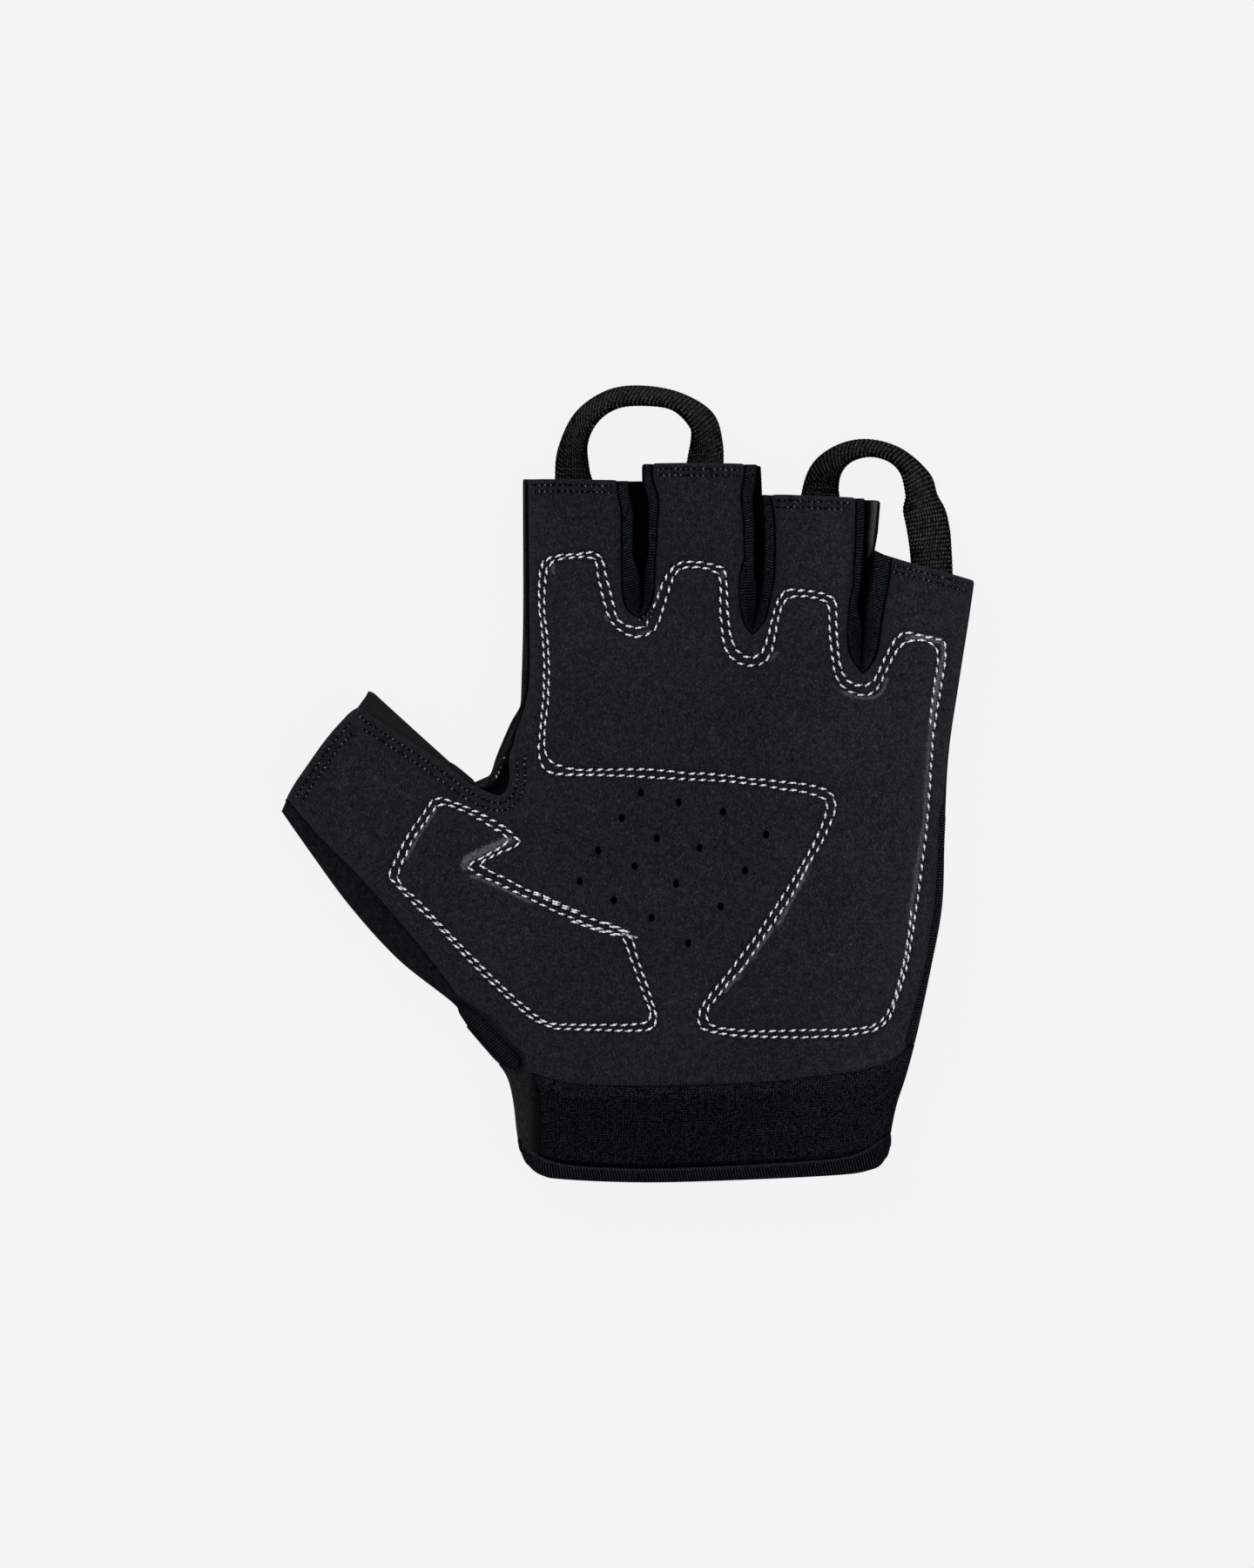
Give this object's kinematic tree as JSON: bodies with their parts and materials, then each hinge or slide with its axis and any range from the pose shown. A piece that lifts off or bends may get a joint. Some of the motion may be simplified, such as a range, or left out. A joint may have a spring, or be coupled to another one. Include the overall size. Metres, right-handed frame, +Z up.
{
  "type": "half-finger cycling glove",
  "caption": "Half-finger cycling glove for the left hand: padded suede palm with air holes, rib-knit fourchettes, fleece thumb back, elastic cuff and webbing pull loops.",
  "frame": {"origin": "bottom centre of the glove's box, on the surface that its back lies on", "axes": "+Y along the hand towards the fingertips, +Z up out of the palm, the thumb at -X"},
  "size_m": [0.1592, 0.1836, 0.0215],
  "materials": {
    "suede": "matt charcoal synthetic suede with a fine short nap",
    "foam": "soft closed-cell foam pad, under the suede",
    "rib_knit": "black rib-knit stretch fabric, matt",
    "stretch_fabric": "black fine-knit stretch fabric, slight sheen",
    "fleece": "black short-pile fleece, matt",
    "elastic_knit": "black elastic knit with fine ribs, matt",
    "webbing": "black ribbed grosgrain webbing, slight sheen"
  },
  "bodies": {
    "root": {"palm_panel": "suede", "palm_pad": "foam", "thumb_pad": "foam", "fourchette_index_middle": "rib_knit", "fourchette_middle_ring": "rib_knit", "fourchette_ring_pinky": "rib_knit", "back_panel": "stretch_fabric", "thumb_back": "fleece", "thumb_gusset": "stretch_fabric", "cuff_band": "elastic_knit", "cuff_binding": "elastic_knit", "side_binding": "elastic_knit", "pull_loop_index_middle": "webbing", "pull_loop_ring_pinky": "webbing"}
  },
  "joints": []
}
